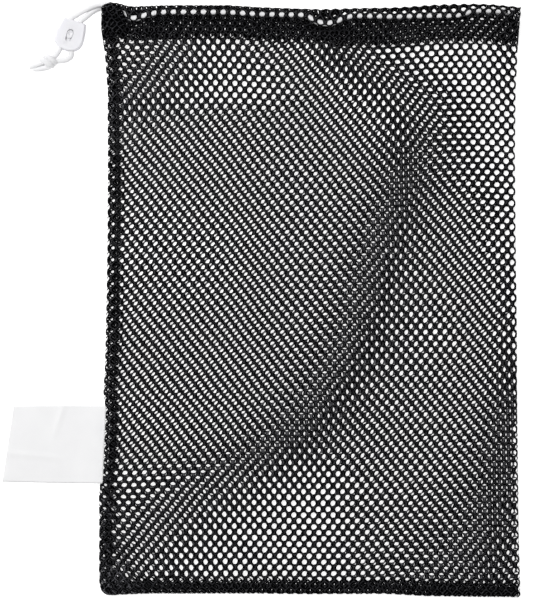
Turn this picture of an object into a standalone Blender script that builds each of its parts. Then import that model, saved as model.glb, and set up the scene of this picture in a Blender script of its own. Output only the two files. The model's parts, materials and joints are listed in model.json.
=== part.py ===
"""A mesh laundry bag lying flat: one sheet of mesh cloth folded down its right side, sewn along the left side and
the bottom, and hemmed at the mouth into a casing for a drawstring. Both ends of the drawstring leave the casing at
the left corner, pass through a spring-button cord lock and end in one knot. A write-on label is caught in the side
seam. Metres, +Z up. The origin is the middle of the bag's underside, +X runs across the bag from the label side to
the folded side, and +Y runs up the bag from the bottom seam to the mouth."""

import math

import bmesh
import bpy
from mathutils import Matrix, Vector

MM = 0.001
GAP = 0.3 * MM  # running room between neighbouring pieces

# The bag, lying flat.
BAG_WIDTH = 432 * MM
BAG_HEIGHT = 607 * MM
CLOTH = 0.8 * MM
FRONT_LEVEL = 9.0 * MM  # underside of the front wall above the floor
HEM_DEPTH = 36.5 * MM  # from the mouth's folded edge to the hem's raw edge
STITCH_LINE = 22 * MM  # from the mouth's folded edge to the hem's stitching
SEAM_ALLOWANCE = 12 * MM

# The drawstring.
CORD_HALF_WIDTH = 3.1 * MM
CORD_HALF_HEIGHT = 2.3 * MM
CORD_INSET = 7.5 * MM  # from the mouth's folded edge to the middle of the cord
TUNNEL_RADIUS = 3.4 * MM  # outside radius of the casing round the cord
PULL_TRAVEL = 50 * MM
KNOT_RADIUS = 7.6 * MM
KNOT_HEIGHT = 6.2 * MM
TAIL_LENGTH = 14 * MM

# The cord lock, in its own frame: +Y along the cords towards the bag, +Z up off the floor.
LOCK_PLACE = Vector((-247.6 * MM, 272.8 * MM, 0))
LOCK_TURN = math.radians(-19)
LOCK_HALF_LENGTH = 15.8 * MM
LOCK_HALF_WIDTH = 14.6 * MM
LOCK_END_HALF_WIDTH = 11.4 * MM  # of the straight end, towards the bag
LOCK_WIDEST = -2.0 * MM  # where the lock is widest, measured up from its middle
LOCK_TOP = 9.2 * MM
LOCK_ROOF = 1.3 * MM  # thickness over the button's pocket
LOCK_SPLIT = 3.6 * MM  # where the two shells meet
LOCK_RIM = 0.7 * MM  # how far the back shell stands out past the front shell
CORD_SPACING = 10.4 * MM
CORD_LEVEL = 4.6 * MM  # middle of the cords inside the lock
SLIDE_UP = 3 * MM  # travel of the lock towards the bag
SLIDE_DOWN = 1.5 * MM  # travel of the lock towards the knot
BUTTON_TRAVEL = 3 * MM
PAD_LOW, PAD_HIGH = -3.5 * MM, 5.1 * MM  # the two ends of the button's pad

# The write-on label.
LABEL_LENGTH = 89.5 * MM
LABEL_TOP = -108 * MM
LABEL_BOTTOM = -188.5 * MM
LABEL_SLANT = 12 * MM  # how much further out the bottom corner reaches
LABEL_THICKNESS = 0.4 * MM

# Worked out from the driving dimensions.
LEFT, RIGHT = -BAG_WIDTH / 2, BAG_WIDTH / 2
BOTTOM, TOP = -BAG_HEIGHT / 2, BAG_HEIGHT / 2
BAG_DEPTH = FRONT_LEVEL + CLOTH
EDGE_RADIUS = BAG_DEPTH / 2
HEM_EDGE = TOP - HEM_DEPTH
HEM_STITCH = TOP - STITCH_LINE
CORD_Y = TOP - CORD_INSET
BACK_CORD_Z = TUNNEL_RADIUS
FRONT_CORD_Z = FRONT_LEVEL + TUNNEL_RADIUS
TURN_RADIUS = (FRONT_CORD_Z - BACK_CORD_Z) / 2
TURN_X = RIGHT - 13 * MM  # centre of the cord's turn at the fold
CASING_END = RIGHT - EDGE_RADIUS - GAP
PANEL = (LEFT + EDGE_RADIUS + GAP, RIGHT - EDGE_RADIUS - GAP, BOTTOM + EDGE_RADIUS + GAP, HEM_EDGE - GAP)


def material(name, colour, roughness):
    made = bpy.data.materials.new(name)
    made.use_nodes = True
    shader = made.node_tree.nodes["Principled BSDF"]
    shader.inputs["Base Color"].default_value = (*colour, 1)
    shader.inputs["Roughness"].default_value = roughness
    shader.inputs["Metallic"].default_value = 0
    return made


def steel(name):
    made = material(name, (0.62, 0.62, 0.64), 0.3)
    made.node_tree.nodes["Principled BSDF"].inputs["Metallic"].default_value = 1
    return made


def empty(name, location, turn=0.0, parent=None):
    """A joint's place: its children move with it."""
    made = bpy.data.objects.new(name, None)
    bpy.context.scene.collection.objects.link(made)
    made.location = location
    made.rotation_euler = (0, 0, turn)
    made.parent = parent
    return made


def add_object(name, bm, surface, parent=None, smooth_below=40):
    """Turns a bmesh into a named object. A child of a joint's empty is modelled in that empty's frame."""
    bmesh.ops.recalc_face_normals(bm, faces=bm.faces)
    mesh = bpy.data.meshes.new(name)
    bm.to_mesh(mesh)
    bm.free()
    mesh.materials.append(surface)
    mesh.shade_smooth()
    mesh.set_sharp_from_angle(angle=math.radians(smooth_below))
    made = bpy.data.objects.new(name, mesh)
    bpy.context.scene.collection.objects.link(made)
    made.parent = parent
    return made


def keep_world_place(child, joint):
    """Parents a piece that was modelled in the bag's frame to a joint's empty without moving it."""
    child.parent = joint
    child.matrix_parent_inverse = joint.matrix_world.inverted()


def prism(outline, axis, start, end):
    """A closed outline pushed along an axis. The outline's two numbers are the other two axes in X, Y, Z order."""
    bm = bmesh.new()
    ends = []
    for level in (start, end):
        ring = []
        for a, b in outline:
            place = {"x": (level, a, b), "y": (a, level, b), "z": (a, b, level)}[axis]
            ring.append(bm.verts.new(place))
        ends.append(ring)
    near, far = ends
    bm.faces.new(near)
    bm.faces.new(reversed(far))
    for i in range(len(outline)):
        j = (i + 1) % len(outline)
        bm.faces.new((near[i], far[i], far[j], near[j]))
    return bm


def box(low, high):
    """A plain block between two corners."""
    bm = bmesh.new()
    size = Vector(high) - Vector(low)
    middle = (Vector(high) + Vector(low)) / 2
    bmesh.ops.create_cube(bm, size=1, matrix=Matrix.Translation(middle) @ Matrix.Diagonal((*size, 1)))
    return bm


def arc(centre, radius, first, last, steps):
    """Points along an arc, angles in degrees. The radius is one number, or one for each direction."""
    across, up = radius if isinstance(radius, tuple) else (radius, radius)
    angles = [math.radians(first + (last - first) * i / steps) for i in range(steps + 1)]
    return [(centre[0] + across * math.cos(a), centre[1] + up * math.sin(a)) for a in angles]


def bezier(p0, p1, p2, p3, steps):
    """Points along a cubic curve, without its last point."""
    points = []
    for i in range(steps):
        t = i / steps
        s = 1 - t
        points.append(p0 * s**3 + p1 * (3 * s * s * t) + p2 * (3 * s * t * t) + p3 * t**3)
    return points


def sweep(path, half_width, half_height, sides):
    """An oval rod along a path. Its width starts level with the floor, and its frame turns only as the path does."""
    bm = bmesh.new()
    path = [Vector(p) for p in path]
    tangents = []
    for i, point in enumerate(path):
        before = path[max(i - 1, 0)]
        after = path[min(i + 1, len(path) - 1)]
        tangents.append((after - before).normalized())
    side = tangents[0].cross(Vector((0, 0, 1))).normalized()
    rings = []
    for i, point in enumerate(path):
        if i:
            side = tangents[i - 1].rotation_difference(tangents[i]) @ side
        up = side.cross(tangents[i])
        ring = []
        for k in range(sides):
            angle = 2 * math.pi * (k + 0.5) / sides
            offset = side * (half_width * math.cos(angle)) + up * (half_height * math.sin(angle))
            ring.append(bm.verts.new(point + offset))
        rings.append(ring)
    bm.faces.new(rings[0])
    bm.faces.new(reversed(rings[-1]))
    for near, far in zip(rings, rings[1:]):
        for k in range(sides):
            n = (k + 1) % sides
            bm.faces.new((near[k], far[k], far[n], near[n]))
    return bm


def cut(target, name, bm, parent=None):
    """Cuts a bmesh's shape out of an object with a Boolean. The cutter is kept as a hidden helper."""
    cutter = add_object(name, bm, target.data.materials[0], parent)
    cutter.hide_render = True
    cutter.display_type = "WIRE"
    modifier = target.modifiers.new(name, "BOOLEAN")
    modifier.operation = "DIFFERENCE"
    modifier.object = cutter
    return cutter


def round_edges(target, width, segments, limit=30):
    """Rounds an object's edges that are sharper than a limit, in degrees."""
    bevel = target.modifiers.new("rounded", "BEVEL")
    bevel.width = width
    bevel.segments = segments
    bevel.limit_method = "ANGLE"
    bevel.angle_limit = math.radians(limit)
    return bevel


# ---------------------------------------------------------------- cloth


def edge_profile(allowance, mirrored=False):
    """The section of a side of the bag: cloth curving from the back wall to the front wall. A sewn side also has the
    two edges of the cloth turned inside as one strip. The first number runs from the bag's edge inwards."""
    strip = CLOTH * 1.25
    inner = EDGE_RADIUS - CLOTH
    points = arc((EDGE_RADIUS, EDGE_RADIUS), EDGE_RADIUS, 90, 270, 12)
    if allowance:
        turn = math.degrees(math.asin(strip / inner))
        points += arc((EDGE_RADIUS, EDGE_RADIUS), inner, 270, 180 + turn, 6)
        points += [(allowance, EDGE_RADIUS - strip), (allowance, EDGE_RADIUS + strip)]
        points += arc((EDGE_RADIUS, EDGE_RADIUS), inner, 180 - turn, 90, 6)
    else:
        points += arc((EDGE_RADIUS, EDGE_RADIUS), inner, 270, 90, 12)
    return [(-a if mirrored else a, b) for a, b in points]


def panel(name, level):
    """A wall of the bag, as a plain sheet."""
    low_x, high_x, low_y, high_y = PANEL
    return add_object(name, box((low_x, low_y, level), (high_x, high_y, level + CLOTH)), CLOTH_LOOK)


def side_seam():
    outline = [(LEFT + a, b) for a, b in edge_profile(SEAM_ALLOWANCE)]
    made = add_object("side_seam", prism(outline, "y", BOTTOM, HEM_EDGE - GAP), CLOTH_LOOK)
    high = (LEFT + SEAM_ALLOWANCE + MM, BOTTOM + CLOTH * 1.25 + GAP, BAG_DEPTH - 2 * MM)
    cut(made, "bottom_room", box((PANEL[0] - GAP, BOTTOM - MM, 2 * MM), high))
    return made


def bottom_seam():
    outline = [(BOTTOM + a, b) for a, b in edge_profile(SEAM_ALLOWANCE)]
    low_x, high_x = PANEL[0], PANEL[1]
    made = add_object("bottom_seam", prism(outline, "x", low_x, high_x), CLOTH_LOOK)
    inner_edge = BOTTOM + CLOTH * 1.25
    room = LEFT + SEAM_ALLOWANCE + GAP
    corner = box((low_x - MM, inner_edge, 2 * MM), (room, BOTTOM + 2 * SEAM_ALLOWANCE, BAG_DEPTH - 2 * MM))
    cut(made, "corner_room", corner)
    return made


def side_fold():
    outline = [(RIGHT + a, b) for a, b in edge_profile(0, mirrored=True)]
    return add_object("side_fold", prism(outline, "y", BOTTOM, HEM_EDGE - GAP), CLOTH_LOOK)


def mouth_fold():
    """The fold where the casing turns from the front wall to the back wall, round the cord's turn."""
    depth = FRONT_LEVEL + 2 * TUNNEL_RADIUS
    centre = (RIGHT - EDGE_RADIUS, depth / 2)
    outside = arc(centre, (EDGE_RADIUS, depth / 2), 90, -90, 14)
    inside = arc(centre, (EDGE_RADIUS - CLOTH, depth / 2 - CLOTH), -90, 90, 14)
    return add_object("mouth_fold", prism(outside + inside, "y", HEM_EDGE, TOP), CLOTH_LOOK)


def casing(name, level, slot_level):
    """A hem that makes a tunnel for the cord. Its inner layer is open along the turn's path at the folded side, so
    that the rigid cord can slide; in the real bag the cloth gathers there instead."""
    full = 2 * TUNNEL_RADIUS
    shoulder = CORD_Y - 2.4 * TUNNEL_RADIUS
    flat = HEM_STITCH + 0.5 * MM
    nose = (TOP - TUNNEL_RADIUS, level + TUNNEL_RADIUS)
    outside = [(HEM_EDGE, level)]
    outside += arc(nose, TUNNEL_RADIUS, -90, 90, 10)
    outside += [(shoulder, level + full), (flat, level + 2 * CLOTH), (HEM_EDGE, level + 2 * CLOTH)]
    made = add_object(name, prism(outside, "x", LEFT, CASING_END), CLOTH_LOOK)
    inside = [(flat + 0.6 * MM, level + CLOTH)]
    inside += arc(nose, TUNNEL_RADIUS - CLOTH, -90, 90, 10)
    inside += [(shoulder + 0.3 * MM, level + full - CLOTH), (flat + 0.6 * MM, level + CLOTH * 1.3)]
    cut(made, name + "_tunnel", prism(inside, "x", LEFT - MM, CASING_END + MM))
    reach = TURN_X - PULL_TRAVEL - 2 * TURN_RADIUS
    side = CORD_HALF_WIDTH + 0.7 * MM
    low = (reach, CORD_Y - side, slot_level - CLOTH)
    high = (RIGHT, CORD_Y + side, slot_level + CLOTH)
    cut(made, name + "_turn_slot", box(low, high))
    return made


def seam_thread(name, along, across, level, first, last):
    """A row of stitching as one thread that zigzags along a seam."""
    stitch = 11 * MM
    swing = 0.9 * MM
    count = round((last - first) / stitch)
    path = []
    for i in range(count + 1):
        run = first + (last - first) * i / count
        side = across + swing * (-1) ** i
        path.append((run, side, level) if along == "x" else (side, run, level))
    return add_object(name, sweep(path, 0.45 * MM, 0.35 * MM, 4), THREAD_LOOK)


# ---------------------------------------------------------------- drawstring


def in_lock(across, along, level):
    """A point of the lock's frame, in the bag's frame."""
    return LOCK_PLACE + Matrix.Rotation(LOCK_TURN, 3, "Z") @ Vector((across, along, level))


KNOT_PLACE = (-12.4 * MM, -32.6 * MM)  # in the lock's frame


def knot_side(angle, away=0.0):
    """A point round the knot, at cord height, in the bag's frame. The angle is in degrees in the lock's frame."""
    reach = KNOT_RADIUS + 0.6 * MM + away
    turn = math.radians(angle)
    return in_lock(KNOT_PLACE[0] + reach * math.cos(turn), KNOT_PLACE[1] + reach * math.sin(turn), CORD_LEVEL)


def path_to_knot(start, across, knot_angle):
    """From the casing's left end, round into the lock, straight through it, and into the knot."""
    entry = in_lock(across, LOCK_HALF_LENGTH + LOCK_RIM + SLIDE_UP + GAP, CORD_LEVEL)
    leaving = in_lock(across, -LOCK_HALF_LENGTH - LOCK_RIM - SLIDE_DOWN - GAP, CORD_LEVEL)
    ahead = (entry - leaving).normalized()
    outside = Vector((LEFT - 2 * MM, start.y, start.z))
    knot = knot_side(knot_angle)
    towards = (knot_side(knot_angle, MM) - knot).normalized()
    path = [start]
    path += bezier(outside, outside - Vector((11 * MM, -1 * MM, 0)), entry + ahead * 8 * MM, entry, 14)
    path += [entry, leaving]
    path += bezier(leaving, leaving - ahead * 3 * MM, knot + towards * 2 * MM, knot, 8)[1:]
    path.append(knot)
    return path


def cord(name, path, joint):
    made = add_object(name, sweep(path, CORD_HALF_WIDTH, CORD_HALF_HEIGHT, 12), CORD_LOOK)
    keep_world_place(made, joint)
    return made


def back_strand_path():
    """The cord's back run, with its turn at the fold at one end and its tail through the lock at the other."""
    angles = [math.radians(90 - 180 * i / 12) for i in range(13)]
    middle = (FRONT_CORD_Z + BACK_CORD_Z) / 2
    path = [Vector((TURN_X + TURN_RADIUS * math.cos(a), CORD_Y, middle + TURN_RADIUS * math.sin(a))) for a in angles]
    start = Vector((LEFT + 5 * MM, CORD_Y, BACK_CORD_Z))
    return path + path_to_knot(start, CORD_SPACING / 2, -1)


def knot(joint):
    """The stopper knot, as one lumpy bead: its turns show as three shallow grooves."""
    bm = bmesh.new()
    bmesh.ops.create_uvsphere(bm, u_segments=24, v_segments=14, radius=1)
    for vert in bm.verts:
        around = math.atan2(vert.co.y, vert.co.x)
        groove = 1 - 0.07 * (0.5 + 0.5 * math.cos(3 * around + 4 * vert.co.z)) * (1 - vert.co.z**2)
        vert.co = Vector((vert.co.x * KNOT_RADIUS, vert.co.y * KNOT_RADIUS, vert.co.z * (KNOT_HEIGHT - GAP))) * groove
    bmesh.ops.translate(bm, verts=bm.verts, vec=in_lock(*KNOT_PLACE, KNOT_HEIGHT))
    made = add_object("stopper_knot", bm, CORD_LOOK)
    keep_world_place(made, joint)
    return made


def cord_end(name, angle, joint):
    """A cut end of the cord, where it leaves the knot."""
    path = [knot_side(angle, TAIL_LENGTH * i / 4) for i in range(5)]
    return cord(name, path, joint)


# ---------------------------------------------------------------- cord lock


def lock_outline(grow=0.0):
    """The lock seen from above: a straight end towards the bag, widening sides, and a rounded end away from it."""
    steps = 14
    side = []
    for i in range(steps):
        angle = math.radians(90 * i / steps)
        low = LOCK_WIDEST - (LOCK_HALF_LENGTH + LOCK_WIDEST) * math.cos(angle) ** (2 / 2.4)
        side.append((LOCK_HALF_WIDTH * math.sin(angle) ** (2 / 2.4), low))
    for i in range(steps + 1):
        share = i / steps
        taper = (LOCK_HALF_WIDTH - LOCK_END_HALF_WIDTH) * share**1.5
        side.append((LOCK_HALF_WIDTH - taper, LOCK_WIDEST + (LOCK_HALF_LENGTH - LOCK_WIDEST) * share))
    outline = side + [(-a, b) for a, b in reversed(side[1:])]
    return [(a * (1 + grow / LOCK_HALF_WIDTH), b * (1 + grow / LOCK_HALF_LENGTH)) for a, b in outline]


def oval_tunnel(across, half_width, half_height, sides=20):
    """A cutter for one cord's way through the lock."""
    length = 1.3 * LOCK_HALF_LENGTH
    ring = arc((across, CORD_LEVEL), (half_width, half_height), 0, 360 * (1 - 1 / sides), sides - 1)
    return prism([(a, b) for a, b in ring], "y", -length, length)


def slot_outline(half_width, low, high):
    """A slot seen from above, with rounded ends."""
    points = arc((0, high - half_width), half_width, 0, 180, 10)
    return points + arc((0, low + half_width), half_width, 180, 360, 10)


def hollow_lock_shell(shell, joint):
    """Cuts the two cord ways and the button's pocket out of one shell of the lock."""
    for label, across in (("left", -CORD_SPACING / 2), ("right", CORD_SPACING / 2)):
        way = oval_tunnel(across, CORD_HALF_WIDTH + 0.4 * MM, CORD_HALF_HEIGHT + 0.3 * MM)
        cut(shell, f"{shell.name}_{label}_way", way, joint)
    pocket = box((-2.2 * MM, -11 * MM, 1.6 * MM), (2.2 * MM, 11.5 * MM, LOCK_TOP - LOCK_ROOF))
    cut(shell, shell.name + "_pocket", pocket, joint)


def lock_front_shell(joint):
    body = prism(lock_outline(), "z", LOCK_SPLIT, LOCK_TOP)
    made = add_object("lock_front_shell", body, LOCK_LOOK, joint)
    round_edges(made, 1.5 * MM, 4, 60)
    hollow_lock_shell(made, joint)
    low, high = PAD_LOW - BUTTON_TRAVEL - 0.5 * MM, PAD_HIGH + 0.9 * MM
    window = prism(slot_outline(3.3 * MM, low, high), "z", LOCK_TOP - LOCK_ROOF - 0.4 * MM, LOCK_TOP + MM)
    cut(made, "thumb_slot", window, joint)
    track = prism(slot_outline(2.5 * MM, -11.2 * MM, -5 * MM), "z", LOCK_TOP - 0.25 * MM, LOCK_TOP + MM)
    cut(made, "thumb_track", track, joint)
    return made


def lock_back_shell(joint):
    body = prism(lock_outline(LOCK_RIM), "z", GAP, LOCK_SPLIT - GAP)
    made = add_object("lock_back_shell", body, LOCK_LOOK, joint)
    round_edges(made, 0.9 * MM, 3, 60)
    hollow_lock_shell(made, joint)
    return made


def lock_button(joint):
    """The thumb button: a dished pad on a stem between the two cords, with an apron that keeps the slot closed."""
    pad = prism(slot_outline(3.0 * MM, PAD_LOW, PAD_HIGH), "z", LOCK_TOP - LOCK_ROOF, LOCK_TOP - 0.2 * MM)
    made = add_object("lock_button", pad, LOCK_LOOK, joint)
    round_edges(made, 0.3 * MM, 2, 60)
    under, top, low = LOCK_TOP - LOCK_ROOF - MM, LOCK_TOP - LOCK_ROOF - GAP, 2 * MM
    stem_low, stem_high, riser, apron = -1.5 * MM, 4.2 * MM, -2.4 * MM, -7.6 * MM
    into_pad = LOCK_TOP - 1.1 * MM
    side_view = [(stem_low, low), (stem_high, low), (stem_high, into_pad), (riser, into_pad), (riser, top)]
    side_view += [(apron, top), (apron, under), (stem_low, under)]
    stem = prism(side_view, "x", -1.8 * MM, 1.8 * MM)
    helper = add_object("button_stem", stem, LOCK_LOOK, joint)
    helper.hide_render = True
    helper.display_type = "WIRE"
    union = made.modifiers.new("stem", "BOOLEAN")
    union.operation = "UNION"
    union.object = helper
    dish = bmesh.new()
    place = Matrix.Translation((0, PAD_HIGH - 3.1 * MM, LOCK_TOP + 3.3 * MM))
    bmesh.ops.create_uvsphere(dish, u_segments=28, v_segments=20, radius=4.2 * MM, matrix=place)
    cut(made, "thumb_dish", dish, joint)
    return made


def lock_spring(joint):
    """The coil spring that holds the button towards the bag."""
    turns, radius, wire = 6, 1.25 * MM, 0.25 * MM
    near, far = -10.4 * MM, -2.1 * MM
    steps = turns * 12
    path = []
    for i in range(steps + 1):
        angle = 2 * math.pi * turns * i / steps
        along = near + (far - near) * i / steps
        path.append((radius * math.cos(angle), along, CORD_LEVEL + radius * math.sin(angle)))
    return add_object("lock_spring", sweep(path, wire, wire, 6), SPRING_LOOK, joint)


# ---------------------------------------------------------------- label


def id_label(joint):
    """The write-on label, a plain sheet that swings about the side seam."""
    away = -LABEL_LENGTH
    corners = [(-GAP, LABEL_TOP), (away, LABEL_TOP), (away - LABEL_SLANT, LABEL_BOTTOM), (-GAP, LABEL_BOTTOM)]
    outline = [(a, b - joint.location.y) for a, b in corners]
    sheet = prism(outline, "z", -LABEL_THICKNESS / 2, LABEL_THICKNESS / 2)
    return add_object("id_label", sheet, LABEL_LOOK, joint)


# ---------------------------------------------------------------- assembly

for old in list(bpy.data.objects):
    bpy.data.objects.remove(old)

CLOTH_LOOK = material("black_mesh_cloth", (0.02, 0.02, 0.022), 0.7)
THREAD_LOOK = material("black_thread", (0.015, 0.015, 0.017), 0.6)
CORD_LOOK = material("white_cord", (0.85, 0.85, 0.86), 0.8)
LOCK_LOOK = material("white_plastic", (0.86, 0.86, 0.88), 0.4)
LABEL_LOOK = material("white_label", (0.88, 0.88, 0.89), 0.85)
SPRING_LOOK = steel("spring_steel")

front_wall = empty("front_wall_hinge", (0, BOTTOM + EDGE_RADIUS, FRONT_LEVEL + CLOTH / 2))
drawstring = empty("drawstring_slide", (LEFT, CORD_Y, BACK_CORD_Z))
front_cord = empty("front_cord_hinge", front_wall.location)
lock = empty("cord_lock_slide", LOCK_PLACE, LOCK_TURN)
label_hinge = empty("label_hinge", (LEFT - 0.5 * MM, (LABEL_TOP + LABEL_BOTTOM) / 2, EDGE_RADIUS))
bpy.context.view_layer.update()

panel("back_panel", 0)
side_seam()
bottom_seam()
side_fold()
mouth_fold()
casing("back_casing", 0, 2 * TUNNEL_RADIUS - CLOTH / 2)
seam_thread("side_seam_thread", "y", LEFT + 9 * MM, EDGE_RADIUS + 2 * MM, BOTTOM + 18 * MM, HEM_EDGE - 4 * MM)
seam_thread("bottom_seam_thread", "x", BOTTOM + 9 * MM, EDGE_RADIUS + 2 * MM, LEFT + 18 * MM, RIGHT - 12 * MM)
seam_thread("back_hem_thread", "x", HEM_STITCH - 2 * MM, 2 * CLOTH + 0.8 * MM, LEFT + 4 * MM, CASING_END - 4 * MM)

keep_world_place(panel("front_panel", FRONT_LEVEL), front_wall)
keep_world_place(casing("front_casing", FRONT_LEVEL, FRONT_LEVEL + CLOTH / 2), front_wall)
hem_level = FRONT_LEVEL + 2 * CLOTH + 0.8 * MM
front_hem = seam_thread(
    "front_hem_thread", "x", HEM_STITCH - 2 * MM, hem_level, LEFT + 4 * MM, CASING_END - 4 * MM
)
keep_world_place(front_hem, front_wall)

front_start = Vector((LEFT - GAP, CORD_Y, FRONT_CORD_Z))
front_end = Vector((TURN_X - GAP, CORD_Y, FRONT_CORD_Z))
cord("drawstring_front_strand", [Vector((LEFT, CORD_Y, FRONT_CORD_Z)), front_end], front_cord)
cord("drawstring_front_tail", path_to_knot(front_start, -CORD_SPACING / 2, 71), drawstring)
cord("drawstring_back_strand", back_strand_path(), drawstring)
knot(drawstring)
cord_end("cord_end_left", 193, drawstring)
cord_end("cord_end_right", 241, drawstring)

lock_back_shell(lock)
lock_front_shell(lock)
lock_button(lock)
lock_spring(lock)
id_label(label_hinge)
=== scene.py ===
"""The looks of the mesh laundry bag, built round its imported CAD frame. The cloth is modelled as real holed net: one
sheet for the front wall and one for the back wall, each with its hem turned in at the mouth. The two nets are a
little out of step with each other, which makes the drifting light and dark pattern of two layers of mesh.
Lengths in the shape functions are millimetres; meshes are turned to metres when they are made."""

import math

import bpy
import numpy as np
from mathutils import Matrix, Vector
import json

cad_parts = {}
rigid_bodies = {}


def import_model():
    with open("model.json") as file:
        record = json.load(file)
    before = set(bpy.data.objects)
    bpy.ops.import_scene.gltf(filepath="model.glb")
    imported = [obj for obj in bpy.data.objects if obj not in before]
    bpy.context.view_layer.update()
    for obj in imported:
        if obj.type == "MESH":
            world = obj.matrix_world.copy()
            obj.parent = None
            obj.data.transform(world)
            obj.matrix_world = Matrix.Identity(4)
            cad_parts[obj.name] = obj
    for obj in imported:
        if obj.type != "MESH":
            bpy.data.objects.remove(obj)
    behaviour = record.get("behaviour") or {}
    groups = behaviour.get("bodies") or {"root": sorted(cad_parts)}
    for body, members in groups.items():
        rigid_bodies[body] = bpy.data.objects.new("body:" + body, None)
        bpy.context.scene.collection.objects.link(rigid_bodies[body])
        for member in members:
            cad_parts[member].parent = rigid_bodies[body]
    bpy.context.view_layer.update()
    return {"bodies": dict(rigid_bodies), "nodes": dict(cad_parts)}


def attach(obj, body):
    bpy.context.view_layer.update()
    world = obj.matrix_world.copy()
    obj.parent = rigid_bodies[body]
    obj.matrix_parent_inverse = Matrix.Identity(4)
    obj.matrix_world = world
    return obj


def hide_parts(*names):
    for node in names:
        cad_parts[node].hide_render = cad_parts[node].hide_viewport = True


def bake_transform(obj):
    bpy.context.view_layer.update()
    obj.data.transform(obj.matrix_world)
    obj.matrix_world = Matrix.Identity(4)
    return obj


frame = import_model()

MM = 0.001

# ---------------------------------------------------------------- sizes of the cloth, in millimetres

PITCH = 9.905  # between holes in one row
ROW = 6.1  # between rows; every other row is shifted by half a pitch
FRONT_HOLE = (2.84, 3.08)  # half width and half height of a hole
BACK_HOLE = (3.22, 3.46)
STRAND = 0.5  # half thickness of the net's strands
CLOTH_HALF = 213.6  # half width of the cloth, measured along it
HEM = 41.0  # how far below the mouth's edge the casing's shape starts
LEFT, RIGHT, BOTTOM, TOP = -216.0, 216.0, -303.5, 303.5
ROLLED = 2.2  # radius of the rolled bottom edge
CORD_RADIUS, CORD_FLAT = 2.85, 2.6  # half width and half height of the drawstring

# The bag's outline as it lies: its edges wander by a few millimetres. Each pair is a place along the edge, and the
# edge's position there.
LEFT_EDGE = [(-304, -216.6), (-280, -217.6), (-200, -217.6), (-165, -213.4), (-110, -211.0), (-95, -213.2),
             (-70, -211.4), (0, -209.8), (70, -208.7), (215, -208.7), (256, -211.8), (280, -215.0), (304, -214.6)]
RIGHT_EDGE = [(-304, 216.2), (-240, 214.6), (-150, 213.4), (0, 212.4), (70, 211.3), (150, 210.6), (215, 211.4),
              (256, 213.4), (280, 214.6), (304, 216.8)]
BOTTOM_EDGE = [(-216, -304.6), (-190, -303.2), (-165, -302.1), (-60, -302.1), (0, -302.9), (80, -302.6),
               (120, -304.8), (216, -306.0)]
TOP_EDGE = [(-216, 301.5), (-208, 305.4), (-200, 306.2), (-192, 304.0), (-184, 302.3), (-171, 302.7),
            (-150, 303.4), (-85, 303.5), (-50, 301.2), (0, 299.5), (50, 300.5), (84, 301.2), (105, 302.4),
            (125, 304.0), (149, 305.0), (170, 304.9), (185, 304.5), (199, 303.2), (216, 301.4)]

# How far below the mouth's edge the middle of the drawstring runs.
CORD_DROP = [(-216, -1.7), (-206, 2.6), (-196, 8.0), (-184, 13.7), (-175, 11.9), (-165, 8.7), (-150, 7.4),
             (-60, 7.6), (-22, 6.9), (-5, 6.5), (7, 13.9), (17, 15.9), (27, 13.9), (36, 9.1), (46, 7.9), (64, 8.7),
             (84, 9.6), (105, 10.3), (125, 11.4), (147, 12.3), (156, 11.5), (163, 7.7), (172, 6.7), (185, 6.7),
             (199, 5.9), (216, 5.5)]

# Sections through the two casings: distance below the mouth's edge, and height above the floor. Each starts in the
# wall, goes up and over the mouth's edge, and comes back as the turned-in layer down to its raw edge.
FRONT_CASING = [(41, 4.1), (36, 4.7), (30, 5.7), (25, 6.6), (22, 6.8), (18, 8.8), (14, 12.0), (10, 13.9), (6.8, 14.2),
                (3.8, 13.4), (1.6, 11.8), (0.4, 9.6), (0.1, 7.9), (1.4, 7.2), (7.5, 7.6), (13, 7.2), (18, 6.4),
                (22, 5.4), (26, 4.8), (31, 4.0), (36.2, 3.2), (42.8, 2.7)]
BACK_CASING = [(41, 0.8), (22, 0.8), (11, 0.7), (7, 1.1), (4.6, 2.2), (3.4, 3.7), (3.7, 5.0), (5, 6.0), (8.5, 6.6),
               (12, 6.2), (16, 4.6), (19.5, 2.9), (23, 2.1), (31, 1.9), (36.2, 1.8)]


def along(table, where):
    """Reads an edge's position from its pairs, rounded off between them."""
    places = np.array([p for p, _ in table], float)
    values = np.array([v for _, v in table], float)
    offsets = np.array([-5.0, -2.5, 0.0, 2.5, 5.0])
    weights = np.array([0.1, 0.25, 0.3, 0.25, 0.1])
    return sum(w * np.interp(where + o, places, values) for o, w in zip(offsets, weights))


def smooth_step(value, low, high):
    t = np.clip((value - low) / (high - low), 0, 1)
    return t * t * (3 - 2 * t)


def bump(x, y, centre, reach):
    return np.exp(-(((x - centre[0]) / reach[0]) ** 2) - (((y - centre[1]) / reach[1]) ** 2))


def wander(x, y, seed):
    """A slow unevenness of cloth that lies loose."""
    a = np.sin(0.031 * x + 0.017 * y + 1.7 * seed) + 0.6 * np.sin(0.052 * y - 0.023 * x + 2.9 * seed)
    b = np.sin(0.11 * x - 0.07 * y + 0.9 * seed) + np.sin(0.13 * y + 0.06 * x + 2.3 * seed)
    return 0.5 * a + 0.22 * b


def tremble(x, y, seed):
    """The small unevenness from one knitted loop to the next."""
    a = np.sin(0.83 * x + 0.41 * y + 1.3 * seed) * np.sin(0.57 * y - 0.29 * x + 0.7 * seed)
    b = np.sin(1.31 * y - 0.77 * x + 2.1 * seed) * np.sin(1.07 * x + 0.49 * y + 0.4 * seed)
    return a + 0.7 * b


# ---------------------------------------------------------------- how the back net is out of step with the front net


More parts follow.
